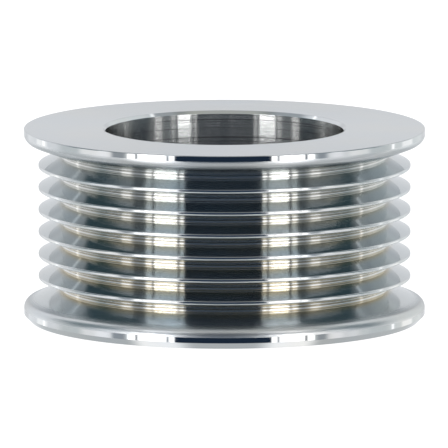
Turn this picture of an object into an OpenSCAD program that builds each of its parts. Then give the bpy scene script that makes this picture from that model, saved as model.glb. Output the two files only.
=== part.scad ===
// Ribbed belt pulley of a supercharger drive, with the pair of sealed ball bearings it turns on.
// The axis is +Z. The origin is the centre of the rear flange's face, and the open mouth faces +Z.

/* [Belt ribs] */
// Number of grooves in the belt track
groove_count = 7; // [7:1:9]
// Distance between neighbouring grooves, the PK belt standard
groove_pitch = 3.56; // [3.5:0.02:3.6]
// Included angle of a groove, in degrees
groove_angle = 40; // [38:1:42]
// Diameter over the crests
crest_d = 59.4; // [58:0.2:61]
// Width of a crest between its two flanks
crest_w = 0.48; // [0.44:0.02:0.6]
// Radius on the corners of a crest
crest_round = 0.2; // [0.1:0.05:0.25]
// Radius at the bottom of a groove
root_round = 0.3; // [0.2:0.05:0.5]

/* [Flanges] */
// Outside diameter of both flanges
flange_d = 64; // [63:0.5:68]
// From the front face to the centre of the first groove
front_land = 4.2; // [4.1:0.1:5]
// From the centre of the last groove to the rear face
rear_land = 5.24; // [5.24:0.1:7.24]
// Radius where a flange's rim turns into its groove flank
flange_round = 1.3; // [0.8:0.1:1.4]
// Chamfer on the outer edge of the front face
front_break = 0.15; // [0.1:0.05:0.4]
// Chamfer on the outer edge of the rear face
rear_chamfer = 1.0; // [0.5:0.1:1.2]

/* [Bore] */
// Diameter of the open mouth in front of the bearings
mouth_d = 38; // [37.8:0.1:40]
// Chamfer at the edge of the mouth
mouth_chamfer = 0.5; // [0.3:0.1:1.0]
// Thickness of the lip behind the rear bearing
lip_t = 1.5; // [1.2:0.1:2]
// Diameter of the hole through the lip
lip_d = 31; // [30.5:0.5:32]

/* [Bearings] */
// Number of balls in each bearing
ball_count = 10; // [8:1:10]
// Length of the two spacers between the bearings
spacer_l = 4; // [3:0.5:4]

/* [Hidden] */
$fn = 96;

// Rim heights, from the rear face up
rim_h = front_land + (groove_count - 1) * groove_pitch + rear_land;
flank = groove_angle / 2;
flange_r = flange_d / 2;
crest_r = crest_d / 2;
groove_half = (groove_pitch - crest_w) / 2;
apex_r = crest_r - groove_half / tan(flank);

// A 16003 bearing: 17 mm bore, 35 mm outside, 8 mm wide
bearing_r = 17.5;
shaft_r = 8.5;
bearing_w = 8;
bearing_break = 0.3;
ball_d = 4.762;
ball_path_r = 13;
ball_gap = 0.02;
race_r = 0.52 * ball_d;
inner_land_r = 11.45;
outer_land_r = 14.7;

// Rubber seals, let into both faces of a bearing
seal_recess = 0.15;
seal_t = 0.75;
seal_web_t = 0.5;
seal_bead = 0.7;
seal_seat_r = 15.6;
seal_play = 0.02;
seal_land_r = 11;
seal_slope = 0.2;
seal_step = 0.1;
lip_gap = 0.05;

// Pressed cage, two riveted halves
cage_t = 0.4;
pocket_gap = 0.07;
cage_in_r = 11.85;
cage_out_r = 14.25;
rivet_r = 0.5;
rivet_head_r = 0.85;
rivet_head_t = 0.3;
rivet_taper = 0.1;

// Spacers between the two bearings
spacer_wall_in = 2.5;
spacer_wall_out = 2.3;
spacer_break = 0.2;

// Internal retaining ring for a 35 mm bore
ring_t = 1.5;
ring_slot_w = 1.6;
ring_slot_r = 18.5;
ring_gap = 0.05;
ring_in_r = 15.85;
ring_offset = 0.8;
lug_r = 2.3;
lug_reach = 15.9;
lug_hole_r = 1.25;
lug_angle = 17;

// The ledge in front of the ring's slot, and how far a cut runs past what it cuts
ledge_h = 1.5;
ledge_break = 0.5;
past = 1;

// Heights of the pieces inside the bore
rear_z = lip_t + bearing_w / 2;
spacer_z = lip_t + bearing_w;
front_z = spacer_z + spacer_l + bearing_w / 2;
stack_top = front_z + bearing_w / 2;
ledge_top = stack_top + ring_slot_w + ledge_h;

function unit(v) = v / norm(v);

// The arc of radius r that rounds the corner at b, on the way from a to c
function corner(a, b, c, r, steps) =
    let (
        u = unit(a - b),
        v = unit(c - b),
        half = acos(u * v) / 2,
        centre = b + unit(u + v) * r / sin(half),
        start = b + u * r / tan(half) - centre,
        turn = (u.x * v.y - u.y * v.x > 0 ? -1 : 1) * (180 - 2 * half),
        from = atan2(start.y, start.x)
    )
    [for (k = [0 : steps]) centre + r * [cos(from + turn * k / steps), sin(from + turn * k / steps)]];

// An outline given as [x, y, corner radius, steps], with its corners rounded
function rounded(pts) = [
    for (i = [0 : len(pts) - 1])
        let (
            a = pts[(i + len(pts) - 1) % len(pts)],
            b = pts[i],
            c = pts[(i + 1) % len(pts)]
        )
        each (b[2] == 0
            ? [[b.x, b.y]]
            : corner([a.x, a.y], [b.x, b.y], [c.x, c.y], b[2], b[3]))
];

// Height of groove i's centre, and half its width at radius r
function groove_z(i) = rim_h - front_land - i * groove_pitch;
function half_at(r) = groove_half + (r - crest_r) * tan(flank);

// The belt track from the front flange down to the rear one, corners still sharp
function track() = [
    [flange_r, groove_z(0) + half_at(flange_r), flange_round, 8],
    for (i = [0 : groove_count - 1]) each [
        if (i > 0) [crest_r, groove_z(i) + groove_half, crest_round, 4],
        [apex_r, groove_z(i), root_round, 8],
        if (i < groove_count - 1) [crest_r, groove_z(i) - groove_half, crest_round, 4]
    ],
    [flange_r, groove_z(groove_count - 1) - half_at(flange_r), flange_round, 8]
];

// The bore from the rear lip up to the mouth
function bore() = [
    [lip_d / 2 + bearing_break, 0, 0],
    [lip_d / 2, bearing_break, 0],
    [lip_d / 2, lip_t, 0],
    [bearing_r, lip_t, 0],
    [bearing_r, stack_top, 0],
    [ring_slot_r, stack_top, 0],
    [ring_slot_r, stack_top + ring_slot_w, 0],
    [bearing_r, stack_top + ring_slot_w, 0],
    [bearing_r, ledge_top - ledge_break, 0],
    [bearing_r + ledge_break, ledge_top, 0],
    [mouth_d / 2, ledge_top, 0],
    [mouth_d / 2, rim_h - mouth_chamfer, 0],
    [mouth_d / 2 + mouth_chamfer, rim_h, 0]
];

module ring(r_in, r_out, h, bevel = 0) {
    rotate_extrude()
        polygon([
            [r_in + bevel, 0], [r_out - bevel, 0], [r_out, bevel], [r_out, h - bevel],
            [r_out - bevel, h], [r_in + bevel, h], [r_in, h - bevel], [r_in, bevel]
        ]);
}

// Puts its children at each ball's place, or half way between the balls
module around(shift = 0) {
    for (i = [0 : ball_count - 1])
        rotate((i + shift) * 360 / ball_count)
            translate([ball_path_r, 0, 0])
                children();
}

module pulley_rim() {
    color("silver")
        rotate_extrude()
            polygon(rounded(concat(
                bore(),
                [[flange_r - front_break, rim_h, 0], [flange_r, rim_h - front_break, 0]],
                track(),
                [[flange_r, rear_chamfer, 0], [flange_r - rear_chamfer, 0, 0]]
            )));
}

module retaining_ring() {
    out_r = ring_slot_r - ring_gap;
    color("dimgray")
        translate([0, 0, stack_top])
            difference() {
                intersection() {
                    cylinder(r = out_r, h = ring_t);
                    union() {
                        difference() {
                            cylinder(r = out_r, h = ring_t);
                            translate([0, -ring_offset, -past])
                                cylinder(r = ring_in_r, h = ring_t + 2 * past);
                            linear_extrude(3 * ring_t, center = true)
                                polygon([
                                    [0, 0],
                                    2 * out_r * [sin(lug_angle), -cos(lug_angle)],
                                    2 * out_r * [-sin(lug_angle), -cos(lug_angle)]
                                ]);
                        }
                        for (side = [-1, 1])
                            rotate(side * lug_angle)
                                translate([0, -lug_reach, 0])
                                    cylinder(r = lug_r, h = ring_t);
                    }
                }
                for (side = [-1, 1])
                    rotate(side * lug_angle)
                        translate([0, -lug_reach, -past])
                            cylinder(r = lug_hole_r, h = ring_t + 2 * past);
            }
}

module outer_spacer() {
    color("lightgray")
        translate([0, 0, spacer_z])
            ring(bearing_r - spacer_wall_out, bearing_r, spacer_l, spacer_break);
}

module inner_spacer() {
    color("lightgray")
        translate([0, 0, spacer_z])
            ring(shaft_r, shaft_r + spacer_wall_in, spacer_l, spacer_break);
}

// The ball track, cut into both rings. side is 1 for the outer ring and -1 for the inner ring
module race(side) {
    rotate_extrude()
        translate([ball_path_r + side * (ball_d / 2 + ball_gap - race_r), 0])
            circle(r = race_r);
}

module outer_ring() {
    h = bearing_w / 2;
    seat = h - seal_recess - seal_t;
    difference() {
        rotate_extrude()
            polygon([
                [seal_seat_r, -h], [bearing_r - bearing_break, -h],
                [bearing_r, bearing_break - h], [bearing_r, h - bearing_break],
                [bearing_r - bearing_break, h], [seal_seat_r, h],
                [seal_seat_r, seat], [outer_land_r, seat],
                [outer_land_r, -seat], [seal_seat_r, -seat]
            ]);
        race(1);
    }
}

module inner_ring() {
    h = bearing_w / 2;
    seat = h - seal_recess - seal_t - 2 * lip_gap;
    difference() {
        rotate_extrude()
            polygon([
                [shaft_r + bearing_break, -h], [seal_land_r, -h],
                [seal_land_r, -seat], [inner_land_r, -seat],
                [inner_land_r, seat], [seal_land_r, seat],
                [seal_land_r, h], [shaft_r + bearing_break, h],
                [shaft_r, h - bearing_break], [shaft_r, bearing_break - h]
            ]);
        race(-1);
    }
}

module balls() {
    around()
        sphere(d = ball_d);
}

// A radial bar of radius r through each ball's place
module pockets(r) {
    around()
        rotate([0, 90, 0])
            cylinder(r = r, h = 2 * ball_d, center = true);
}

// One half of a cage, with its flats on the plane z = 0 and its pockets above it
module cage_half() {
    pocket_r = ball_d / 2 + pocket_gap;
    difference() {
        union() {
            ring(cage_in_r, cage_out_r, cage_t);
            intersection() {
                ring(cage_in_r, cage_out_r, 2 * ball_d);
                pockets(pocket_r + cage_t);
            }
        }
        pockets(pocket_r);
        around(0.5)
            translate([0, 0, -past])
                cylinder(r = rivet_r, h = cage_t + 2 * past);
    }
}

module cage_rivets() {
    around(0.5)
        rotate_extrude()
            polygon([
                [0, -cage_t - rivet_head_t], [rivet_head_r - rivet_taper, -cage_t - rivet_head_t],
                [rivet_head_r, -cage_t], [rivet_r, -cage_t],
                [rivet_r, cage_t], [rivet_head_r, cage_t],
                [rivet_head_r - rivet_taper, cage_t + rivet_head_t], [0, cage_t + rivet_head_t]
            ]);
}

// A seal for a bearing's upper face: a bead at its edge, a thin web, and a thick lip
module seal() {
    top = bearing_w / 2 - seal_recess;
    lip_r = seal_land_r + lip_gap;
    seal_r = seal_seat_r - seal_play;
    web_top = top - seal_slope;
    web_bottom = top - seal_web_t - seal_step;
    rotate_extrude()
        polygon([
            [lip_r, web_top], [lip_r + seal_slope, top], [lip_r + seal_bead, top],
            [lip_r + seal_bead + seal_slope, web_top], [seal_r - seal_bead - seal_slope, web_top],
            [seal_r - seal_bead, top], [seal_r, top],
            [seal_r, top - seal_t], [seal_r - seal_bead, top - seal_t],
            [seal_r - seal_bead - seal_step, web_bottom],
            [lip_r + seal_bead, web_bottom],
            [lip_r + seal_bead - seal_slope, top - seal_t], [lip_r, top - seal_t]
        ]);
}

module front_outer_ring() {
    color("gainsboro") translate([0, 0, front_z]) outer_ring();
}

module front_inner_ring() {
    color("gainsboro") translate([0, 0, front_z]) inner_ring();
}

module front_balls() {
    color("white") translate([0, 0, front_z]) balls();
}

module front_cage_upper() {
    color("tan") translate([0, 0, front_z]) cage_half();
}

module front_cage_lower() {
    color("tan") translate([0, 0, front_z]) mirror([0, 0, 1]) cage_half();
}

module front_cage_rivets() {
    color("goldenrod") translate([0, 0, front_z]) cage_rivets();
}

module front_seal_upper() {
    color("black") translate([0, 0, front_z]) seal();
}

module front_seal_lower() {
    color("black") translate([0, 0, front_z]) mirror([0, 0, 1]) seal();
}

module rear_outer_ring() {
    color("gainsboro") translate([0, 0, rear_z]) outer_ring();
}

module rear_inner_ring() {
    color("gainsboro") translate([0, 0, rear_z]) inner_ring();
}

module rear_balls() {
    color("white") translate([0, 0, rear_z]) balls();
}

module rear_cage_upper() {
    color("tan") translate([0, 0, rear_z]) cage_half();
}

module rear_cage_lower() {
    color("tan") translate([0, 0, rear_z]) mirror([0, 0, 1]) cage_half();
}

module rear_cage_rivets() {
    color("goldenrod") translate([0, 0, rear_z]) cage_rivets();
}

module rear_seal_upper() {
    color("black") translate([0, 0, rear_z]) seal();
}

module rear_seal_lower() {
    color("black") translate([0, 0, rear_z]) mirror([0, 0, 1]) seal();
}

pulley_rim();
retaining_ring();
outer_spacer();
inner_spacer();
front_outer_ring();
front_inner_ring();
front_balls();
front_cage_upper();
front_cage_lower();
front_cage_rivets();
front_seal_upper();
front_seal_lower();
rear_outer_ring();
rear_inner_ring();
rear_balls();
rear_cage_upper();
rear_cage_lower();
rear_cage_rivets();
rear_seal_upper();
rear_seal_lower();
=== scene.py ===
import math

import bmesh
import bpy
import numpy as np
from mathutils import Matrix, Vector


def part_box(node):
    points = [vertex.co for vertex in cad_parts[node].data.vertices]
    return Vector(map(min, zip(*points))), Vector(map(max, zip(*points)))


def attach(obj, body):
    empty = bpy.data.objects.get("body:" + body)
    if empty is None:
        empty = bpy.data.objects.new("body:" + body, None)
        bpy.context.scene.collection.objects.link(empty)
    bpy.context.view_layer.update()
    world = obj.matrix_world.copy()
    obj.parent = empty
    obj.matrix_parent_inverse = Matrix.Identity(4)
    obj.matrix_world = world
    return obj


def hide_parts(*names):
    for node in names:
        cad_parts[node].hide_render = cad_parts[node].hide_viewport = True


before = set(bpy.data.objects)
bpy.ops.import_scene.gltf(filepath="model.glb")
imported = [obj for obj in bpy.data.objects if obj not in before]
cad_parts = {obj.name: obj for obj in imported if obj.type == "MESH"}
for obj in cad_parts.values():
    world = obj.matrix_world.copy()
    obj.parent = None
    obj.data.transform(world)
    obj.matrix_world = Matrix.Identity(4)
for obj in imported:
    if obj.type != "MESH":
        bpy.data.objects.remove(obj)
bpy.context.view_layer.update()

MM = 0.001
MICRON = 1e-6

# ---------------------------------------------------------------- sizes, in metres

rim_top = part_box("pulley_rim")[1]
RIM_H = rim_top.z
FLANGE_R = rim_top.x

# the belt track: seven V grooves between two flanges
GROOVES = 7
PITCH = 3.56 * MM
FLANK = math.radians(20)
CREST_R = 29.7 * MM
CREST_W = 0.48 * MM
CREST_ROUND = 0.2 * MM
ROOT_ROUND = 0.3 * MM
LIP_W = 0.25 * MM          # the pale band under each crest, a painted highlight, reaches this far down the flank
BROW_R = 31.1 * MM         # the front flange's underside is duller outside this
FRONT_LAND = 4.2 * MM
FLANGE_ROUND = 1.3 * MM
REAR_CHAMFER = 1.0 * MM

# the bore: an open mouth, the snap ring's slot, the bearings' seat and the rear lip
MOUTH_R = 19.0 * MM
MOUTH_CHAMFER = 0.5 * MM
LEDGE_H = 1.5 * MM
LEDGE_CHAMFER = 0.5 * MM
SLOT_R = 18.5 * MM
SLOT_W = 1.6 * MM
SEAT_R = 17.5 * MM
LIP_R = 15.5 * MM
LIP_T = 1.5 * MM

EDGE = 0.08 * MM           # the rounding of an edge that is only broken
AXIS = 1e-9                # a radius under this is the axis itself
SAME = 1e-9                # points nearer than this are one
ARC_STEPS = 14             # steps in a rounded corner of 1 mm radius


# ---------------------------------------------------------------- lathe work

def corner_arc(a, b, c, radius, steps):
    """Points and outward normals of the arc that rounds the corner at b."""
    u = (a - b).normalized()
    v = (c - b).normalized()
    half = math.acos(max(-1.0, min(1.0, u.dot(v)))) / 2
    centre = b + (u + v).normalized() * radius / math.sin(half)
    start = b + u * radius / math.tan(half) - centre
    convex = u.x * v.y - u.y * v.x > 0
    turn = (-1 if convex else 1) * (math.pi - 2 * half)
    first = math.atan2(start.y, start.x)
    out = []
    for k in range(steps + 1):
        angle = first + turn * k / steps
        ray = Vector((math.cos(angle), math.sin(angle)))
        out.append((centre + ray * radius, ray))
    return out, convex


def trace(outline):
    """Turns [(r, z, corner radius, zone), ...] into edges: (point, normal, point, normal, zone)."""
    rings = []
    count = len(outline)
    for i in range(count):
        r, z, radius, zone = outline[i]
        here = Vector((r, z))
        before = Vector(outline[i - 1][:2])
        after = Vector(outline[(i + 1) % count][:2])
        if radius == 0:
            rings.append([(here, None)])
            continue
        steps = max(3, int(round(ARC_STEPS * (radius / MM) ** 0.5)))
        points, convex = corner_arc(before, here, after, radius, steps)
        rings.append(points)
    edges = []
    for i in range(count):
        points = rings[i]
        zone = outline[i][3]
        for (p, n), (q, m) in zip(points, points[1:]):
            away = left_of(p, q)
            sign = 1 if n.dot(away) > 0 else -1
            edges.append((p, n * sign, q, m * sign, zone))
        p = points[-1][0]
        q = rings[(i + 1) % count][0][0]
        if (q - p).length > SAME:
            away = left_of(p, q)
            edges.append((p, away, q, away, zone))
    return edges


def left_of(p, q):
    """The unit normal on the left of the way from p to q."""
    d = (q - p).normalized()
    return Vector((-d.y, d.x))


def lathe(name, outline, zones, segments=360, lift=0.0, places=((0.0, 0.0),)):
    """A closed turned shape with exact normals. zones gives the material of each zone name.

    lift raises it, and places are the points where its axis stands, one copy at each.
    Edges on the axis itself give no faces, and those that end there give triangles."""
    edges = trace(outline)
    rows = len(edges)
    angles = np.arange(segments) * 2 * math.pi / segments
    cos, sin = np.cos(angles), np.sin(angles)
    verts = np.zeros((rows, segments, 3))
    for i, edge in enumerate(edges):
        r, z = edge[0]
        verts[i, :, 0] = r * cos
        verts[i, :, 1] = r * sin
        verts[i, :, 2] = z + lift
    j = np.arange(segments)
    k = (j + 1) % segments
    faces, normals, index = [], [], []
    names = list(zones)
    for i, (p, n, q, m, zone) in enumerate(edges):
        here, there = i * segments, (i + 1) % rows * segments
        if p.x < AXIS and q.x < AXIS:
            continue
        corners = [(n, j, here), (m, j, there), (m, k, there), (n, k, here)]
        if q.x < AXIS:
            corners = [(n, j, here), (m, 0 * j, there), (n, k, here)]
        if p.x < AXIS:
            corners = [(n, 0 * j, here), (m, j, there), (m, k, there)]
        faces += np.stack([row + at for _, at, row in corners], 1).tolist()
        around = [np.stack([v.x * cos[at], v.x * sin[at], v.y + 0 * cos[at]], 1)
                  for v, at, _ in corners]
        normals += np.stack(around, 1).reshape(-1, 3).tolist()
        index += [names.index(zone)] * segments
    flat = verts.reshape(-1, 3)
    used = np.unique(np.concatenate([np.array(f) for f in faces]))
    fresh = np.zeros(len(flat), int)
    fresh[used] = np.arange(len(used))
    flat = flat[used]
    faces = [fresh[f] for f in faces]
    mesh = bpy.data.meshes.new(name)
    points = np.concatenate([flat + np.array([x, y, 0]) for x, y in places])
    copies = [(f + c * len(flat)).tolist() for c in range(len(places)) for f in faces]
    mesh.from_pydata(points.tolist(), [], copies)
    mesh.polygons.foreach_set("use_smooth", [True] * len(mesh.polygons))
    for material in zones.values():
        mesh.materials.append(material)
    mesh.polygons.foreach_set("material_index", index * len(places))
    mesh.normals_split_custom_set(normals * len(places))
    mesh.update()
    return place(name, mesh)


def place(name, data):
    """A new object in the scene, made from a mesh, a lamp or a camera."""
    obj = bpy.data.objects.new(name, data)
    bpy.context.scene.collection.objects.link(obj)
    return obj


# ---------------------------------------------------------------- materials

class Nodes:
    """Short calls for building a node tree."""

    def __init__(self, tree):
        self.tree = tree
        tree.nodes.clear()

    def add(self, kind, **values):
        node = self.tree.nodes.new(kind)
        for key, value in values.items():
            setattr(node, key, value)
        return node

    def wire(self, source, node, socket):
        self.tree.links.new(source, node.inputs[socket])

    def math(self, operation, a, b=None):
        node = self.add("ShaderNodeMath", operation=operation)
        for slot, value in enumerate((a, b)):
            if value is None:
                continue
            if isinstance(value, (int, float)):
                node.inputs[slot].default_value = value
            else:
                self.tree.links.new(value, node.inputs[slot])
        return node.outputs[0]

    def step(self, value, low, high):
        """0 below low, 1 above high, smooth between."""
        node = self.add("ShaderNodeMapRange", interpolation_type="SMOOTHSTEP")
        self.wire(value, node, "Value")
        node.inputs["From Min"].default_value = low
        node.inputs["From Max"].default_value = high
        return node.outputs["Result"]

    def spread(self, value, low, high):
        """0 to 1 turned into low to high."""
        node = self.add("ShaderNodeMapRange")
        self.wire(value, node, "Value")
        node.inputs["To Min"].default_value = low
        node.inputs["To Max"].default_value = high
        return node.outputs["Result"]

    def noise(self, vector, scale, detail, roughness=0.5):
        node = self.add("ShaderNodeTexNoise")
        self.wire(vector, node, "Vector")
        node.inputs["Scale"].default_value = scale
        node.inputs["Detail"].default_value = detail
        node.inputs["Roughness"].default_value = roughness
        return node.outputs[0]

    def tint(self, value, low, high):
        """The colour low below 0.35 of value, high above 0.68."""
        node = self.add("ShaderNodeValToRGB")
        for stop, position, colour in zip(node.color_ramp.elements, (0.35, 0.68), (low, high)):
            stop.position = position
            stop.color = (*colour, 1)
        self.wire(value, node, "Fac")
        return node.outputs[0]

    def mix(self, share, base, tone):
        """Base, turned into the colour tone by share."""
        node = self.add("ShaderNodeMix", data_type="RGBA")
        self.wire(share, node, 0)
        if isinstance(base, tuple):
            node.inputs[6].default_value = (*base, 1)
        else:
            self.wire(base, node, 6)
        node.inputs[7].default_value = (*tone, 1)
        return node.outputs[2]

    def leaning(self, z, pitch, slope):
        """The surface's normal, leaned up or down along Z within each cut."""
        phase = self.math("FRACT", self.math("DIVIDE", z, pitch * MM))
        lean = self.math("MULTIPLY", self.math("SUBTRACT", phase, 0.5), 2 * slope)
        up = self.add("ShaderNodeCombineXYZ")
        self.wire(lean, up, 2)
        turn = self.add("ShaderNodeVectorTransform", vector_type="NORMAL",
                        convert_from="OBJECT", convert_to="WORLD")
        self.wire(self.add("ShaderNodeTexCoord").outputs["Normal"], turn, 0)
        both = self.add("ShaderNodeVectorMath", operation="ADD")
        self.wire(turn.outputs[0], both, 0)
        self.wire(up.outputs[0], both, 1)
        unit = self.add("ShaderNodeVectorMath", operation="NORMALIZE")
        self.wire(both.outputs[0], unit, 0)
        return unit.outputs[0]

    def bump(self, height, microns, bsdf):
        node = self.add("ShaderNodeBump")
        node.inputs["Distance"].default_value = microns * MICRON
        self.wire(height, node, "Height")
        self.wire(node.outputs[0], bsdf, "Normal")


def new_material(name, metallic):
    """An empty material: its nodes, its shader and its object coordinates."""
    mat = bpy.data.materials.new(name)
    mat.use_nodes = True
    n = Nodes(mat.node_tree)
    bsdf = n.add("ShaderNodeBsdfPrincipled")
    n.wire(bsdf.outputs[0], n.add("ShaderNodeOutputMaterial"), "Surface")
    bsdf.inputs["Metallic"].default_value = metallic
    return mat, n, bsdf, n.add("ShaderNodeTexCoord").outputs["Object"]


def plain(name, colour, metallic, roughness, grain, depth):
    """A surface without lathe marks. grain is in mm and depth in microns."""
    mat, n, bsdf, where = new_material(name, metallic)
    fine = n.noise(where, 1 / (grain * MM), 3.0)
    n.wire(n.tint(n.noise(where, MOTTLE, 4.0), *colour), bsdf, "Base Color")
    n.wire(n.spread(fine, 0.75 * roughness, 1.25 * roughness), bsdf, "Roughness")
    n.bump(fine, depth, bsdf)
    return mat


def turned_metal(name, colour, roughness, anisotropy, marks, tint_and_reflection=None, metallic=1.0, satin=None, feed=None):
    """Bright metal with lathe marks round the axis. marks is (pitch in mm, depth in microns).

    The gold colour it takes for the grooves is a tint low in them, stronger towards the rear flange: the
    plating's passivation tint, deepened in the grooves as painted inter-reflection. At the very root ROOT
    takes its place, a painted highlight.
    satin is (radius in mm, radius in mm, added roughness) where the finish turns dull.
    feed is (pitch in mm, slope) for a coarse cut. Its scallops lean the surface up and down, and the
    marks only score the colour."""
    mat, n, bsdf, where = new_material(name, metallic)
    bsdf.inputs["Anisotropic"].default_value = anisotropy
    bsdf.inputs["Anisotropic Rotation"].default_value = 0.25
    tangent = n.add("ShaderNodeTangent", direction_type="RADIAL", axis="Z")
    n.wire(tangent.outputs[0], bsdf, "Tangent")

    xyz = n.add("ShaderNodeSeparateXYZ")
    n.wire(where, xyz, 0)
    x, y, z = xyz.outputs
    radius = n.math("SQRT", n.math("ADD", n.math("MULTIPLY", x, x), n.math("MULTIPLY", y, y)))
    along = n.math("ADD", radius, n.math("MULTIPLY", z, MARK_SKEW))
    pitch, depth = marks
    drift = SCORE_DRIFT if feed else MARK_DRIFT
    spot = n.add("ShaderNodeCombineXYZ")
    n.wire(n.math("MULTIPLY", along, 1 / (pitch * MM)), spot, 0)
    n.wire(n.math("MULTIPLY", n.math("DIVIDE", x, radius), drift), spot, 1)
    n.wire(n.math("MULTIPLY", n.math("DIVIDE", y, radius), drift), spot, 2)
    lines = n.noise(spot.outputs[0], 1.0, 3.0, 0.6)
    if feed:
        n.wire(n.leaning(z, *feed), bsdf, "Normal")
    else:
        n.bump(lines, depth, bsdf)
    rough = n.spread(lines, 0.85 * roughness, 1.15 * roughness)
    if satin:
        start, end, more = satin
        rough = n.math("ADD", rough, n.math("MULTIPLY", n.step(radius, start * MM, end * MM), more))
    n.wire(rough, bsdf, "Roughness")

    cloud = n.noise(where, CLOUD, 4.0)
    shade = n.tint(cloud, *colour)
    if tint_and_reflection:
        # the gold passivation tint, deepened low in the grooves as painted inter-reflection
        deep = n.step(radius, TINT_AND_REFLECTION_R[1], TINT_AND_REFLECTION_R[0])
        rise = n.step(z, TINT_AND_REFLECTION_Z[0], TINT_AND_REFLECTION_Z[1])
        low = n.math("SUBTRACT", 1.0, n.math("MULTIPLY", rise, TINT_AND_REFLECTION_LOSS))
        patchy = n.math("ADD", 0.5, cloud)
        shade = n.mix(n.math("MULTIPLY", n.math("MULTIPLY", deep, low), patchy), shade, tint_and_reflection)
        # painted highlight: the very root takes the neutral tone ROOT
        shade = n.mix(n.step(radius, ROOT_R[1], ROOT_R[0]), shade, ROOT)
    if feed:
        shade = n.mix(n.step(lines, *SCORED), shade, SCORE)
    n.wire(shade, bsdf, "Base Color")
    return mat


# the mottling of plain and of turned metal, as noise scales
MOTTLE = 260.0
CLOUD = 90.0

# lathe marks: MARK_SKEW lets them show on flat and on upright faces alike, and the drifts say how
# much they change on the way round
MARK_SKEW = 1.37
MARK_DRIFT = 1.2
SCORE_DRIFT = 0.3

# the gold tint, a passivation tint deepened in the grooves as painted inter-reflection, and ROOT, a painted
# highlight, are full at the first radius and gone at the second; the gold tint loses the given share of
# itself between the two heights, and a score shows where the noise is in its range
TINT_AND_REFLECTION_R = (26.15 * MM, 27.3 * MM)
TINT_AND_REFLECTION_Z = (0.15 * RIM_H, RIM_H)
TINT_AND_REFLECTION_LOSS = 0.8
ROOT_R = (26.05 * MM, 26.16 * MM)
SCORED = (0.56, 0.62)

# a finish has two tones, which the mottling mixes; GOLD, ROOT and SCORE lie over them. ROOT is a painted
# highlight at the very root, and the pale finish under each crest is a painted highlight too
ZINC = ((0.560, 0.582, 0.605), (0.590, 0.592, 0.585))
TEAL = ((0.550, 0.585, 0.605), (0.575, 0.592, 0.595))
WARM = ((0.540, 0.545, 0.540), (0.575, 0.578, 0.570))
# a painted highlight: the pale tone of the rounding under each crest
PALE_HIGHLIGHT = ((0.74, 0.76, 0.78), (0.78, 0.79, 0.79))
# the passivation tint, and where it lies low in the grooves also painted inter-reflection
GOLD = (0.61, 0.565, 0.470)
# a painted highlight: the tone at the very root, set for the brightness it shows
ROOT = (0.575, 0.572, 0.560)
SCORE = (0.32, 0.32, 0.32)

FINE = (0.25, 0.3)         # lathe marks, as turned_metal takes them
polished = turned_metal("zinc_polished", ZINC, 0.06, 0.5, (0.30, 0.10))
flank_metal = turned_metal("zinc_flank", TEAL, 0.07, 0.5, (0.30, 0.15), tint_and_reflection=GOLD, metallic=0.988)
skirt_metal = turned_metal("zinc_skirt", TEAL, 0.12, 0.5, FINE, tint_and_reflection=GOLD, metallic=0.988,
                           satin=(29.6, 31.1, 0.20))
brow_metal = turned_metal("zinc_brow", ZINC, 0.28, 0.4, FINE, metallic=0.975)
sole_metal = turned_metal("zinc_sole", ZINC, 0.34, 0.2, FINE, metallic=0.965)
# the rounding under each crest, painted pale as a highlight
lip_highlight_metal = turned_metal("zinc_lip_painted_highlight", PALE_HIGHLIGHT, 0.45, 0.2, FINE)
crest_metal = turned_metal("zinc_crest", ZINC, 0.13, 0.4, FINE)
faced = turned_metal("zinc_faced", ZINC, 0.15, 0.6, (0.3, 0.2))
bored = turned_metal("zinc_bored", WARM, 0.09, 0.5, (0.30, 0), feed=(0.023, 0.28))


# ---------------------------------------------------------------- the pulley

def groove_z(i):
    """The height of groove i, counted down from the front flange."""
    return RIM_H - FRONT_LAND - i * PITCH


def half_at(r):
    """Half of a groove's width at radius r."""
    return (PITCH - CREST_W) / 2 + (r - CREST_R) * math.tan(FLANK)


def on_flank(i, r):
    """A point on the upper flank of groove i."""
    return r, groove_z(i) + half_at(r)


def track():
    """The grooves' outline, from the front flange's corner to the rear flange's.

    Zones: brow and sole are the flanges' roundings and skirt the flanks below or above them, crest is
    a crest with its upper rounding, and lip is its lower rounding with the start of the flank."""
    apex = CREST_R - (PITCH - CREST_W) / 2 / math.tan(FLANK)
    pts = [(FLANGE_R, groove_z(0) + half_at(FLANGE_R), FLANGE_ROUND, "brow"),
           (*on_flank(0, BROW_R), 0, "skirt")]
    for i in range(GROOVES):
        last = i == GROOVES - 1
        if i > 0:
            # the rounding under the crest, painted pale as a highlight
            pts.append((CREST_R, groove_z(i) + half_at(CREST_R), CREST_ROUND, "lip"))
            pts.append((*on_flank(i, CREST_R - LIP_W), 0, "flank"))
        pts.append((apex, groove_z(i), ROOT_ROUND, "skirt" if last else "flank"))
        if not last:
            pts.append((CREST_R, groove_z(i) - half_at(CREST_R), CREST_ROUND, "crest"))
    corner = groove_z(GROOVES - 1) - half_at(FLANGE_R)
    rounded = FLANGE_ROUND * math.tan((math.pi / 2 - FLANK) / 2)
    pts.append((FLANGE_R, corner, FLANGE_ROUND, "sole"))
    pts.append((FLANGE_R, corner - rounded - EDGE, 0, "band"))
    return pts


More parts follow.
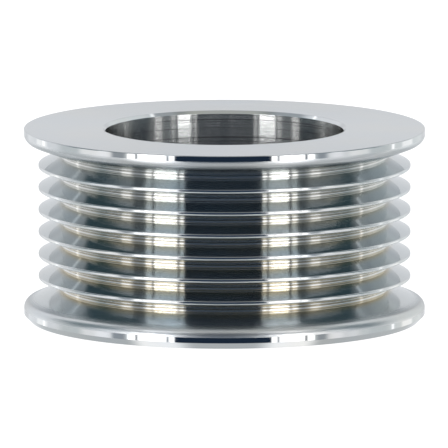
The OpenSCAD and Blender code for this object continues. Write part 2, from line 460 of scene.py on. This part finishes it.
def bore(stack_top):
    """The bore's outline from the rear lip up. stack_top is where the snap ring's slot starts."""
    slot_top = stack_top + SLOT_W
    seat_top = slot_top + LEDGE_H
    return [
        (LIP_R, 0, 3 * EDGE, "bore"),
        (LIP_R, LIP_T, EDGE, "bore"),
        (SEAT_R, LIP_T, 0, "bore"),
        (SEAT_R, stack_top, EDGE, "bore"),
        (SLOT_R, stack_top, 0, "bore"),
        (SLOT_R, slot_top, 0, "bore"),
        (SEAT_R, slot_top, EDGE, "bore"),
        (SEAT_R, seat_top - LEDGE_CHAMFER, EDGE, "bore"),
        (SEAT_R + LEDGE_CHAMFER, seat_top, EDGE, "bore"),
        (MOUTH_R, seat_top, EDGE, "bore"),
        (MOUTH_R, RIM_H - MOUTH_CHAMFER, EDGE, "band"),
        (MOUTH_R + MOUTH_CHAMFER, RIM_H, EDGE, "face"),
    ]


front_edge = [(FLANGE_R, RIM_H, 2 * EDGE, "band")]
rear_edge = [(FLANGE_R, REAR_CHAMFER, EDGE, "band"), (FLANGE_R - REAR_CHAMFER, 0, EDGE, "face")]
rim_outline = bore(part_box("retaining_ring")[0].z) + front_edge + track() + rear_edge
rim_zones = {
    "face": faced, "band": polished, "flank": flank_metal, "skirt": skirt_metal, "brow": brow_metal,
    "sole": sole_metal, "lip": lip_highlight_metal, "crest": crest_metal, "bore": bored,
}
rim = lathe("pulley_ring", rim_outline, rim_zones)


def stand_in(piece, body, node):
    """The piece takes the place of a CAD node on its body."""
    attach(piece, body)
    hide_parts(node)


stand_in(rim, "pulley", "pulley_rim")


# ---------------------------------------------------------------- bearings

BEARING_R = SEAT_R
SHAFT_R = 8.5 * MM
BALL_PATH_R = 13.0 * MM
BALL_R = 2.381 * MM
BALLS = 10
BALL_PLAY = 0.02 * MM
RACE_R = 1.04 * BALL_R
RACE_SHIFT = BALL_R + BALL_PLAY - RACE_R
OUTER_LAND_R = 14.7 * MM
INNER_LAND_R = 11.45 * MM
SEAL_SEAT_R = 15.6 * MM
SEAL_LAND_R = 11.0 * MM
SEAL_RECESS = 0.15 * MM
SEAL_T = 0.75 * MM
LIP_GAP = 0.05 * MM
SEAL_PLAY = 0.02 * MM
RING_BREAK = 0.3 * MM
SPACER_EDGE = 0.2 * MM
OUTER_SPACER_T = 2.3 * MM
INNER_SPACER_T = 2.5 * MM


def race(side, land_r):
    """The ball track as one corner to round: where it leaves the land, and where its tangents meet."""
    centre = BALL_PATH_R + side * RACE_SHIFT
    run = side * (land_r - centre)
    half = math.sqrt(RACE_R ** 2 - run ** 2)
    return half, centre + side * RACE_R ** 2 / run


def outer_ring(h):
    """The outer ring's outline. h is half of the bearing's width."""
    seat = h - SEAL_RECESS - SEAL_T
    half, meet = race(1, OUTER_LAND_R)
    return [
        (SEAL_SEAT_R, -h, EDGE, "ground"), (SEAL_SEAT_R, -seat, 0, "turned"),
        (OUTER_LAND_R, -seat, EDGE, "turned"), (OUTER_LAND_R, -half, 0, "race"),
        (meet, 0, RACE_R, "race"), (OUTER_LAND_R, half, 0, "turned"),
        (OUTER_LAND_R, seat, EDGE, "turned"), (SEAL_SEAT_R, seat, 0, "turned"),
        (SEAL_SEAT_R, h, EDGE, "ground"), (BEARING_R, h, RING_BREAK, "ground"),
        (BEARING_R, -h, RING_BREAK, "ground"),
    ]


def inner_ring(h):
    """The inner ring's outline, with its shoulders cut back under the seals' lips."""
    seat = h - SEAL_RECESS - SEAL_T - 2 * LIP_GAP
    half, meet = race(-1, INNER_LAND_R)
    return [
        (SHAFT_R, -h, RING_BREAK, "ground"), (SHAFT_R, h, RING_BREAK, "ground"),
        (SEAL_LAND_R, h, EDGE, "turned"), (SEAL_LAND_R, seat, 0, "turned"),
        (INNER_LAND_R, seat, EDGE, "turned"), (INNER_LAND_R, half, 0, "race"),
        (meet, 0, RACE_R, "race"), (INNER_LAND_R, -half, 0, "turned"),
        (INNER_LAND_R, -seat, EDGE, "turned"), (SEAL_LAND_R, -seat, 0, "turned"),
        (SEAL_LAND_R, -h, EDGE, "ground"),
    ]


def seal(h, side):
    """A lip seal in the face on the given side: a bead at its edge, a stepped web and a thick lip.

    Its steps are counted in tenths of a millimetre, from the lip and from the rim."""
    top = h - SEAL_RECESS
    low = top - SEAL_T
    lip_r = SEAL_LAND_R + LIP_GAP
    rim_r = SEAL_SEAT_R - SEAL_PLAY
    tenth = 0.1 * MM
    fine = tenth / 2
    pts = [
        (lip_r, low, tenth), (lip_r, top - 2 * tenth, tenth),
        (lip_r + 2 * tenth, top, tenth), (lip_r + 7 * tenth, top, tenth),
        (lip_r + 9 * tenth, top - 2.5 * tenth, tenth), (lip_r + 16 * tenth, top - 2.5 * tenth, fine),
        (lip_r + 17 * tenth, top - 1.5 * tenth, fine), (rim_r - 14 * tenth, top - 1.5 * tenth, fine),
        (rim_r - 13 * tenth, top - 2.5 * tenth, fine), (rim_r - 9 * tenth, top - 2.5 * tenth, tenth),
        (rim_r - 7 * tenth, top, tenth), (rim_r, top, tenth),
        (rim_r, low, tenth), (rim_r - 7 * tenth, low, tenth),
        (rim_r - 8 * tenth, low + 1.5 * tenth, fine), (lip_r + 7 * tenth, low + 1.5 * tenth, fine),
        (lip_r + 5 * tenth, low, tenth),
    ]
    if side < 0:
        pts = [(r, -z, radius) for r, z, radius in reversed(pts)]
    return [(r, z, radius, "rubber") for r, z, radius in pts]


def tube(r_in, r_out, h, edge):
    """A plain ring's outline."""
    return [(r_in, -h, edge, "turned"), (r_in, h, edge, "turned"),
            (r_out, h, edge, "turned"), (r_out, -h, edge, "turned")]


def ball_places(shift=0.0):
    """The balls' centres, turned on by a share of the gap between two of them."""
    angles = [2 * math.pi * (i + shift) / BALLS for i in range(BALLS)]
    return [(BALL_PATH_R * math.cos(a), BALL_PATH_R * math.sin(a)) for a in angles]


def ball():
    """Half of a ball's outline, on its own axis."""
    return [(0, BALL_R, 0, "ball"), (BALL_R, BALL_R, BALL_R, "ball"),
            (BALL_R, -BALL_R, BALL_R, "ball"), (0, -BALL_R, 0, "ball")]


# ---------------------------------------------------------------- cages and rivets

CAGE_T = 0.4 * MM
POCKET_R = BALL_R + 0.07 * MM
CAGE_IN_R = 11.85 * MM
CAGE_OUT_R = 14.25 * MM
CAGE_EDGE = 0.1 * MM
CAGE_FILLET = 0.35 * MM
CAGE_CROWN = 0.12 * MM
RIVET_R = 0.5 * MM
RIVET_HEAD_R = 0.85 * MM
RIVET_HEAD_T = 0.3 * MM
RIVET_FLAT_R = 0.4 * MM
RIVET_WALL = 0.12 * MM
FLAT_SHARES = (1.0, 0.66, 0.33)
FILLET_STEPS = 8
DOME_STEPS = 14
STRIP_STEPS = 8


def rivet():
    """A rivet through both halves of the cage, with the same domed head at each end."""
    top = CAGE_T + RIVET_HEAD_T
    half = [(0, top, 0), (RIVET_FLAT_R, top, 0.5 * MM), (RIVET_HEAD_R, CAGE_T + RIVET_WALL, 0.1 * MM),
            (RIVET_HEAD_R, CAGE_T, 0), (RIVET_R, CAGE_T, 0)]
    return [(r, z, c, "brass") for r, z, c in half + [(r, -z, c) for r, z, c in reversed(half)]]


def pocket_line():
    """The middle of the pressed strip, from half way between two balls, over one, to half way again.

    Each point is (distance from the ball's axis, height, normal, share of the flat still to come)."""
    arc_r = POCKET_R + CAGE_T / 2
    rise = CAGE_T / 2 + CAGE_FILLET
    turn = math.acos(rise / (arc_r + CAGE_FILLET))
    foot = (arc_r + CAGE_FILLET) * math.sin(turn)
    half = [(foot, CAGE_T / 2, (0, 1), share) for share in FLAT_SHARES]
    for a in (turn * k / FILLET_STEPS for k in range(FILLET_STEPS + 1)):
        ray = (math.sin(a), math.cos(a))
        half.append((foot - CAGE_FILLET * ray[0], rise - CAGE_FILLET * ray[1], ray, 0))
    for a in (turn * (1 - k / DOME_STEPS) for k in range(1, DOME_STEPS + 1)):
        ray = (math.sin(a), math.cos(a))
        half.append((arc_r * ray[0], arc_r * ray[1], ray, 0))
    return [(-s, z, (-n[0], n[1]), share) for s, z, n, share in half] + half[-2::-1]


def strip_section():
    """The strip's cross-section as (radius, distance from its middle), edges rounded."""
    inner, outer, half = CAGE_IN_R + CAGE_EDGE, CAGE_OUT_R - CAGE_EDGE, CAGE_T / 2
    quarter = [math.radians(a) for a in (22.5, 45, 67.5)]
    top = [(inner + (outer - inner) * k / STRIP_STEPS, half) for k in range(STRIP_STEPS + 1)]
    top += [(outer + CAGE_EDGE * math.sin(a), half - CAGE_EDGE * (1 - math.cos(a))) for a in quarter]
    side = [(inner - CAGE_EDGE * math.cos(a), half - CAGE_EDGE * (1 - math.sin(a))) for a in quarter]
    return top + [(r, -o) for r, o in reversed(side + top)] + side


def cage(name, lift, side):
    """One pressed half of a ball cage. side is 1 above the balls' plane and -1 below it."""
    section = strip_section()
    step = math.pi / BALLS
    middle = (CAGE_IN_R + CAGE_OUT_R) / 2
    verts = []
    for i in range(BALLS):
        for s, z, n, share in pocket_line()[:-1]:
            for r, o in section:
                angle = math.asin((s + o * n[0]) / r)
                angle += share * (math.copysign(step, s) - angle) + 2 * step * i
                crown = ((r - middle) / (CAGE_OUT_R - middle)) ** 2 * max(0, 1 - abs(s) / POCKET_R)
                height = z + o * n[1] - CAGE_CROWN * crown
                verts.append((r * math.cos(angle), r * math.sin(angle), lift + side * height))
    wide = len(section)
    around = len(verts) // wide
    faces = []
    for i in range(around):
        here, there = i * wide, (i + 1) % around * wide
        for j in range(wide):
            k = (j + 1) % wide
            faces.append((here + j, there + j, there + k, here + k))
    mesh = bpy.data.meshes.new(name)
    mesh.from_pydata(verts, [], faces)
    return finish(name, mesh, cage_metal)


WELD = 0.1 * MICRON
SHARP = math.radians(40)


def finish(name, mesh, material):
    """Welds the mesh, faces it outwards, and leaves only its real edges sharp."""
    bm = bmesh.new()
    bm.from_mesh(mesh)
    bmesh.ops.remove_doubles(bm, verts=bm.verts, dist=WELD)
    bmesh.ops.recalc_face_normals(bm, faces=bm.faces)
    bm.to_mesh(mesh)
    bm.free()
    mesh.polygons.foreach_set("use_smooth", [True] * len(mesh.polygons))
    mesh.set_sharp_from_angle(angle=SHARP)
    mesh.materials.clear()
    mesh.materials.append(material)
    return place(name, mesh)


# ---------------------------------------------------------------- the retaining ring

RING_T = 1.5 * MM
RING_R = SLOT_R - 0.05 * MM
RING_IN_R = 15.85 * MM
RING_CENTRE = Vector((0, -0.8 * MM))
RING_BEVEL = 0.14 * MM
LUG_R = 2.3 * MM
LUG_REACH = 15.9 * MM
LUG_HOLE_R = 1.25 * MM
LUG_ANGLE = math.radians(17)


def arc(centre, radius, start, end, steps):
    return [centre + radius * Vector((math.cos(a), math.sin(a)))
            for a in (start + (end - start) * k / steps for k in range(steps + 1))]


def mirrored(points):
    return [Vector((-v.x, v.y)) for v in reversed(points)]


def retaining_ring(name, middle):
    """An internal retaining ring, open towards -Y, with an eye at each end and an offset inner edge."""
    end = -math.pi / 2 - LUG_ANGLE
    lug = LUG_REACH * Vector((math.cos(end), math.sin(end)))
    back = RING_CENTRE - lug
    spread = math.acos((back.length ** 2 + LUG_R ** 2 - RING_IN_R ** 2) / (2 * back.length * LUG_R))
    touch = math.atan2(back.y, back.x) + spread
    eye = arc(lug, LUG_R, end, touch, 48)
    start = eye[-1] - RING_CENTRE
    first = math.atan2(start.y, start.x) + 2 * math.pi
    outline = arc(Vector((0, 0)), RING_R, -math.pi - end, end + 2 * math.pi, 240) + eye
    outline += arc(RING_CENTRE, RING_IN_R, first, math.pi - first, 200)[1:-1] + mirrored(eye)
    hole = arc(lug, LUG_HOLE_R, 0, 2 * math.pi, 48)[:-1]

    curve = bpy.data.curves.new(name, "CURVE")
    curve.dimensions = "2D"
    curve.fill_mode = "BOTH"
    curve.extrude = RING_T / 2 - RING_BEVEL
    curve.bevel_depth = RING_BEVEL
    curve.bevel_resolution = 3
    curve.offset = -RING_BEVEL
    for points in (outline, hole, mirrored(hole)):
        spline = curve.splines.new("POLY")
        spline.points.add(len(points) - 1)
        for point, v in zip(spline.points, points):
            point.co = (v.x, v.y, 0, 1)
        spline.use_cyclic_u = True
    shape = bpy.data.objects.new(name + "_curve", curve)
    mesh = bpy.data.meshes.new_from_object(shape)
    bpy.data.objects.remove(shape)
    mesh.transform(Matrix.Translation((0, 0, middle)))
    return finish(name, mesh, phosphate)


# ---------------------------------------------------------------- the pieces in the bore

STEEL = ((0.60, 0.61, 0.62), (0.65, 0.65, 0.645))
DULL_STEEL = ((0.50, 0.51, 0.53), (0.56, 0.56, 0.555))
BALL_STEEL = ((0.64, 0.65, 0.66), (0.70, 0.70, 0.695))
STRIP_STEEL = ((0.42, 0.41, 0.39), (0.52, 0.51, 0.48))
BRASS = ((0.60, 0.44, 0.20), (0.70, 0.53, 0.26))
PHOSPHATE = ((0.030, 0.030, 0.032), (0.060, 0.058, 0.056))
NITRILE = ((0.014, 0.014, 0.016), (0.030, 0.030, 0.031))

steel_zones = {
    "ground": turned_metal("ring_ground", STEEL, 0.16, 0.6, (0.12, 0.25)),
    "turned": turned_metal("ring_turned", STEEL, 0.24, 0.7, (0.18, 1.0)),
    "race": turned_metal("ring_race", STEEL, 0.08, 0.5, (0.10, 0.10)),
}
spacer_zones = {"turned": turned_metal("spacer_turned", DULL_STEEL, 0.26, 0.7, (0.2, 1.2))}
ball_zones = {"ball": plain("ball_polished", BALL_STEEL, 1.0, 0.05, 0.4, 0.05)}
rivet_zones = {"brass": plain("rivet_upset", BRASS, 1.0, 0.28, 0.06, 1.5)}
rubber_zones = {"rubber": plain("seal_nitrile", NITRILE, 0, 0.48, 0.05, 4.0)}
cage_metal = plain("cage_pressed", STRIP_STEEL, 1.0, 0.34, 0.08, 1.5)
phosphate = plain("ring_phosphate", PHOSPHATE, 0.5, 0.38, 0.05, 2.5)


def middle_of(node):
    """The height of a node's middle, and half of its own height."""
    low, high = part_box(node)
    return (low.z + high.z) / 2, (high.z - low.z) / 2


circlip = retaining_ring("circlip", middle_of("retaining_ring")[0])
stand_in(circlip, "pulley", "retaining_ring")

for row in ("front", "rear"):
    lift, h = middle_of(row + "_outer_ring")
    rolling = row + "_ball_set"
    stand_in(lathe(row + "_outer_race", outer_ring(h), steel_zones, lift=lift),
             "pulley", row + "_outer_ring")
    stand_in(lathe(row + "_inner_race", inner_ring(h), steel_zones, lift=lift),
             "inner_rings", row + "_inner_ring")
    stand_in(lathe(row + "_ball_row", ball(), ball_zones, 48, lift, ball_places()),
             rolling, row + "_balls")
    stand_in(lathe(row + "_rivet_row", rivet(), rivet_zones, 32, lift, ball_places(0.5)),
             rolling, row + "_cage_rivets")
    for end, side in (("_upper", 1), ("_lower", -1)):
        stand_in(cage(row + "_cage_half" + end, lift, side),
                 rolling, row + "_cage" + end)
        stand_in(lathe(row + "_lip_seal" + end, seal(h, side), rubber_zones, lift=lift),
                 "pulley", row + "_seal" + end)

for node, body, r_in, r_out in (
        ("outer_spacer", "pulley", BEARING_R - OUTER_SPACER_T, BEARING_R),
        ("inner_spacer", "inner_rings", SHAFT_R, SHAFT_R + INNER_SPACER_T)):
    lift, h = middle_of(node)
    stand_in(lathe(node + "_sleeve", tube(r_in, r_out, h, SPACER_EDGE), spacer_zones, lift=lift),
             body, node)


# ---------------------------------------------------------------- floor, light and camera

def studio_world():
    """A light box of pale walls, painted panel by panel on a sphere round the pulley.

    It has a dark opening behind the camera, a bright panel on each side of that, and dark seams.
    The plating mirrors it, and the background that the camera sees is the light table."""
    world = bpy.data.worlds.new("studio")
    bpy.context.scene.world = world
    world.use_nodes = True
    n = Nodes(world.node_tree)
    out = n.add("ShaderNodeOutputWorld")
    back = n.add("ShaderNodeBackground")
    n.wire(back.outputs[0], out, "Surface")
    coord = n.add("ShaderNodeTexCoord")
    xyz = n.add("ShaderNodeSeparateXYZ")
    n.wire(coord.outputs["Generated"], xyz, 0)
    x, y, z = xyz.outputs
    degrees = 180 / math.pi
    azimuth = n.math("MULTIPLY", n.math("ARCTAN2", x, n.math("MULTIPLY", y, -1)), degrees)
    elevation = n.math("MULTIPLY", n.math("ARCSINE", z), degrees)

    def paint(base, tone, az, el, soft=1.0, soft_el=3.0):
        inside = n.math("MULTIPLY", n.step(azimuth, az[0] - soft, az[0] + soft),
                        n.step(azimuth, az[1] + soft, az[1] - soft))
        high = n.math("MULTIPLY", n.step(elevation, el[0] - soft_el, el[0] + soft_el),
                      n.step(elevation, el[1] + soft_el, el[1] - soft_el))
        return n.mix(n.math("MULTIPLY", inside, high), base, tone)

    colour = STUDIO_BASE
    for patch in STUDIO:
        colour = paint(colour, *patch)
    n.wire(colour, back, "Color")


def both(tone, az, el, *soft):
    """The same panel on the right and, mirrored, on the left."""
    return (tone, az, el, *soft), (tone, (-az[1], -az[0]), el, *soft)


STUDIO_BASE = (0.80, 0.82, 0.845)
DARK = (0.016, 0.030, 0.056)
WHITE = (2.7, 2.7, 2.7)
BRIGHT = (6.0, 6.0, 6.0)
HOT = (13.0, 13.0, 13.0)
SEAM = (0.16, 0.18, 0.21)
DIM = (0.42, 0.46, 0.50)

# Each panel is (tone, azimuths, elevations, softness of its upright edges, softness of its level
# edges), in degrees, and it covers what comes before it. Azimuth is 0 towards the camera and grows
# towards +X. The softness is 1 and 3 where it isn't given. They were all set one by one.
STUDIO = [
    # walls, and the floor under them
    ((1.06, 1.08, 1.10), (-156, -104), (-95, 95), 5.0),
    ((0.98, 1.02, 1.02), (104, 156), (-95, 95), 5.0),
    ((0.80, 0.85, 0.86), (-110, 110), (-95, 95), 5.0),
    ((0.66, 0.69, 0.70), (-200, 200), (-95, -20), 1.0, 6.0),
    # the sides above the horizon: grey, with darker and teal panels
    ((0.50, 0.54, 0.56), (-120, 115), (8, 76), 5.0, 5.0),
    *both((0.80, 0.83, 0.85), (104, 125), (12, 19), 5.0, 2.0),
    *both((0.28, 0.31, 0.33), (66, 94), (46, 74), 5.0, 4.0),
    ((0.08, 0.16, 0.19), (-119, 108), (20.5, 42), 3.0, 1.5),
    *both((0.08, 0.13, 0.17), (80, 101), (5, 22), 3.0, 1.5),
    *both((0.10, 0.12, 0.16), (154, 200), (24, 60), 5.0, 4.0),
    # the ceiling
    ((0.60, 0.62, 0.58), (-200, 200), (68, 95), 1.0, 8.0),
    ((0.60, 0.62, 0.60), (-60, 60), (52, 95), 4.0, 4.0),
    # the sides round the horizon: pale strips under a teal line, and a bright post above it
    ((1.15, 1.15, 1.16), (-90, -60), (-28, -4), 4.0),
    ((1.05, 1.06, 1.07), (60, 84), (-28, -4), 4.0),
    ((1.35, 1.35, 1.37), (-80, -70), (-28, -4), 3.0),
    ((1.25, 1.25, 1.27), (64, 72), (-28, -6), 3.0),
    *both((1.30, 1.30, 1.28), (77, 92), (-8.5, -3.5), 3.0, 0.8),
    *both((1.40, 1.40, 1.38), (124, 138), (-18, -4), 2.0, 2.0),
    ((0.15, 0.28, 0.33), (-104, -74), (-2.8, 3), 4.0, 0.8),
    ((0.15, 0.28, 0.33), (76, 104), (-2.8, 3), 4.0, 0.8),
    ((2.5, 2.5, 2.5), (64, 72), (3, 17), 1.0),
    ((2.5, 2.5, 2.5), (-78, -70), (3, 17), 1.0),
    # the bright panels on both sides of the opening, each in its dim frame
    (DIM, (-68, -59), (-60, 40), 2.0),
    (DIM, (54.5, 61), (-60, 40), 2.5),
    ((1.32, 1.32, 1.33), (34, 60), (-64, -34), 3.0, 6.0),
    ((1.35, 1.35, 1.36), (-62, -36), (-64, -34), 3.0, 6.0),
    ((0.90, 0.93, 0.95), (24, 53), (-34, 62), 1.0, 6.0),
    ((0.95, 0.97, 1.00), (-57.5, -26), (-34, 62), 1.0, 6.0),
    (WHITE, (24, 53), (-34, 9.5), 1.0, 2.0),
    (WHITE, (-57.5, -26), (-34, 9.5), 1.0, 2.0),
    ((0.12, 0.14, 0.18), (30, 62), (26.5, 36), 1.0, 1.5),
    ((0.12, 0.14, 0.18), (-64, -30), (26.5, 36), 1.0, 1.5),
    (WHITE, (33, 62), (38, 58), 1.5),
    (WHITE, (-65, -33), (38, 58), 1.5),
    (BRIGHT, (33.5, 46), (0.5, 9), 1.0, 3.0),
    (BRIGHT, (-51, -34.5), (0.5, 9), 1.0, 3.0),
    (HOT, (33.5, 46), (3, 9), 1.0, 1.0),
    (HOT, (-51, -34.5), (3, 9), 1.0, 1.0),
    # thin seams: dark ones beside the opening, and a light one on each side towards the back
    (SEAM, (-52.7, -51.1), (-60, 62), 0.9),
    (SEAM, (47.0, 48.8), (-60, 62), 0.9),
    (SEAM, (30.4, 31.7), (-60, 40), 0.8),
    (SEAM, (-33.5, -32.1), (-60, 40), 0.8),
    ((2.1, 2.1, 2.1), (-129, -127), (-60, 60), 1.2),
    ((1.8, 1.8, 1.8), (112.5, 115), (-60, 60), 1.2),
    # the dark opening behind the camera, with its bluish bands and a grey sill
    (DARK, (-28.8, 27.1), (-22, 52), 0.6, 4.0),
    (DARK, (-33, 33), (36, 56), 1.5, 4.0),
    ((0.15, 0.22, 0.33), (-28.8, 27.1), (-6, -0.5), 0.6, 1.0),
    ((0.13, 0.17, 0.22), (-28.8, 27.1), (0.5, 4), 0.6, 0.5),
    ((0.06, 0.12, 0.18), (-28.8, 27.1), (-15, -11), 0.6, 1.0),
    ((0.62, 0.65, 0.66), (-28.8, 27.1), (-95, -24), 0.6, 5.0),
    # low down: a dim floor, and a pale strip to each side of the back
    ((0.36, 0.38, 0.39), (-118, 118), (-95, -72), 10.0, 5.0),
    *both((1.45, 1.45, 1.45), (127, 160), (-75, -62), 4.0),
]
studio_world()


def light_table():
    """An opal panel lit from below, on which no shadow shows."""
    mat, n, bsdf, where = new_material("light_table", 0)
    n.wire(n.tint(n.noise(where, 5.0, 1.0), (0.99, 0.99, 0.99), (1.0, 1.0, 1.0)), bsdf, "Emission Color")
    bsdf.inputs["Emission Strength"].default_value = 1.0
    bsdf.inputs["Roughness"].default_value = 1.0
    bsdf.inputs["Base Color"].default_value = (0.1, 0.1, 0.1, 1)
    return mat


FLOOR_R = 1.3
FLOOR_EDGE_R = 1.7
FLOOR_EDGE_H = 0.03
FLOOR_SIDES = 64
FLOOR_GAP = 0.05 * MM

LAMP_H = 1.2
LAMP_SIZE = 1.2
LAMP_WATTS = 20

CAMERA_TILT = math.radians(8.538)
CAMERA_DISTANCE = 2.186
CAMERA_AIM = Vector((-0.08 * MM, 0, 15.24 * MM))
LENS = 1100.4
SENSOR = 36


def lay_floor():
    """A round light table, just under the pulley. Its edge rises, so that low views see no horizon."""
    turns = [math.tau * k / FLOOR_SIDES for k in range(FLOOR_SIDES)]
    verts = [(r * math.cos(a), r * math.sin(a), z)
             for r, z in ((FLOOR_R, 0), (FLOOR_EDGE_R, FLOOR_EDGE_H)) for a in turns]
    faces = [range(FLOOR_SIDES)]
    for k in range(FLOOR_SIDES):
        after = (k + 1) % FLOOR_SIDES
        faces.append((k, after, FLOOR_SIDES + after, FLOOR_SIDES + k))
    mesh = bpy.data.meshes.new("floor")
    mesh.from_pydata(verts, [], faces)
    mesh.materials.append(light_table())
    floor = place("floor", mesh)
    floor.location.z = -FLOOR_GAP
    floor.visible_glossy = False


def hang_lamp():
    """A soft overhead lamp, which the plating doesn't mirror."""
    lamp = bpy.data.lights.new("overhead", "AREA")
    lamp.shape = "DISK"
    lamp.size = LAMP_SIZE
    lamp.energy = LAMP_WATTS
    over = place("overhead", lamp)
    over.location.z = LAMP_H
    over.visible_glossy = False


def set_camera():
    """A long lens that looks at the pulley's middle, a little from above."""
    cam = bpy.data.cameras.new("camera")
    cam.lens = LENS
    cam.sensor_width = SENSOR
    cam.clip_end = 20
    obj = place("camera", cam)
    back = Vector((0, -math.cos(CAMERA_TILT), math.sin(CAMERA_TILT)))
    obj.location = CAMERA_AIM + CAMERA_DISTANCE * back
    obj.rotation_euler = (CAMERA_AIM - obj.location).to_track_quat("-Z", "Y").to_euler()
    bpy.context.scene.camera = obj


lay_floor()
hang_lamp()
set_camera()
scene = bpy.context.scene
scene.view_settings.view_transform = "Standard"
scene.cycles.max_bounces = 16
scene.cycles.glossy_bounces = 12
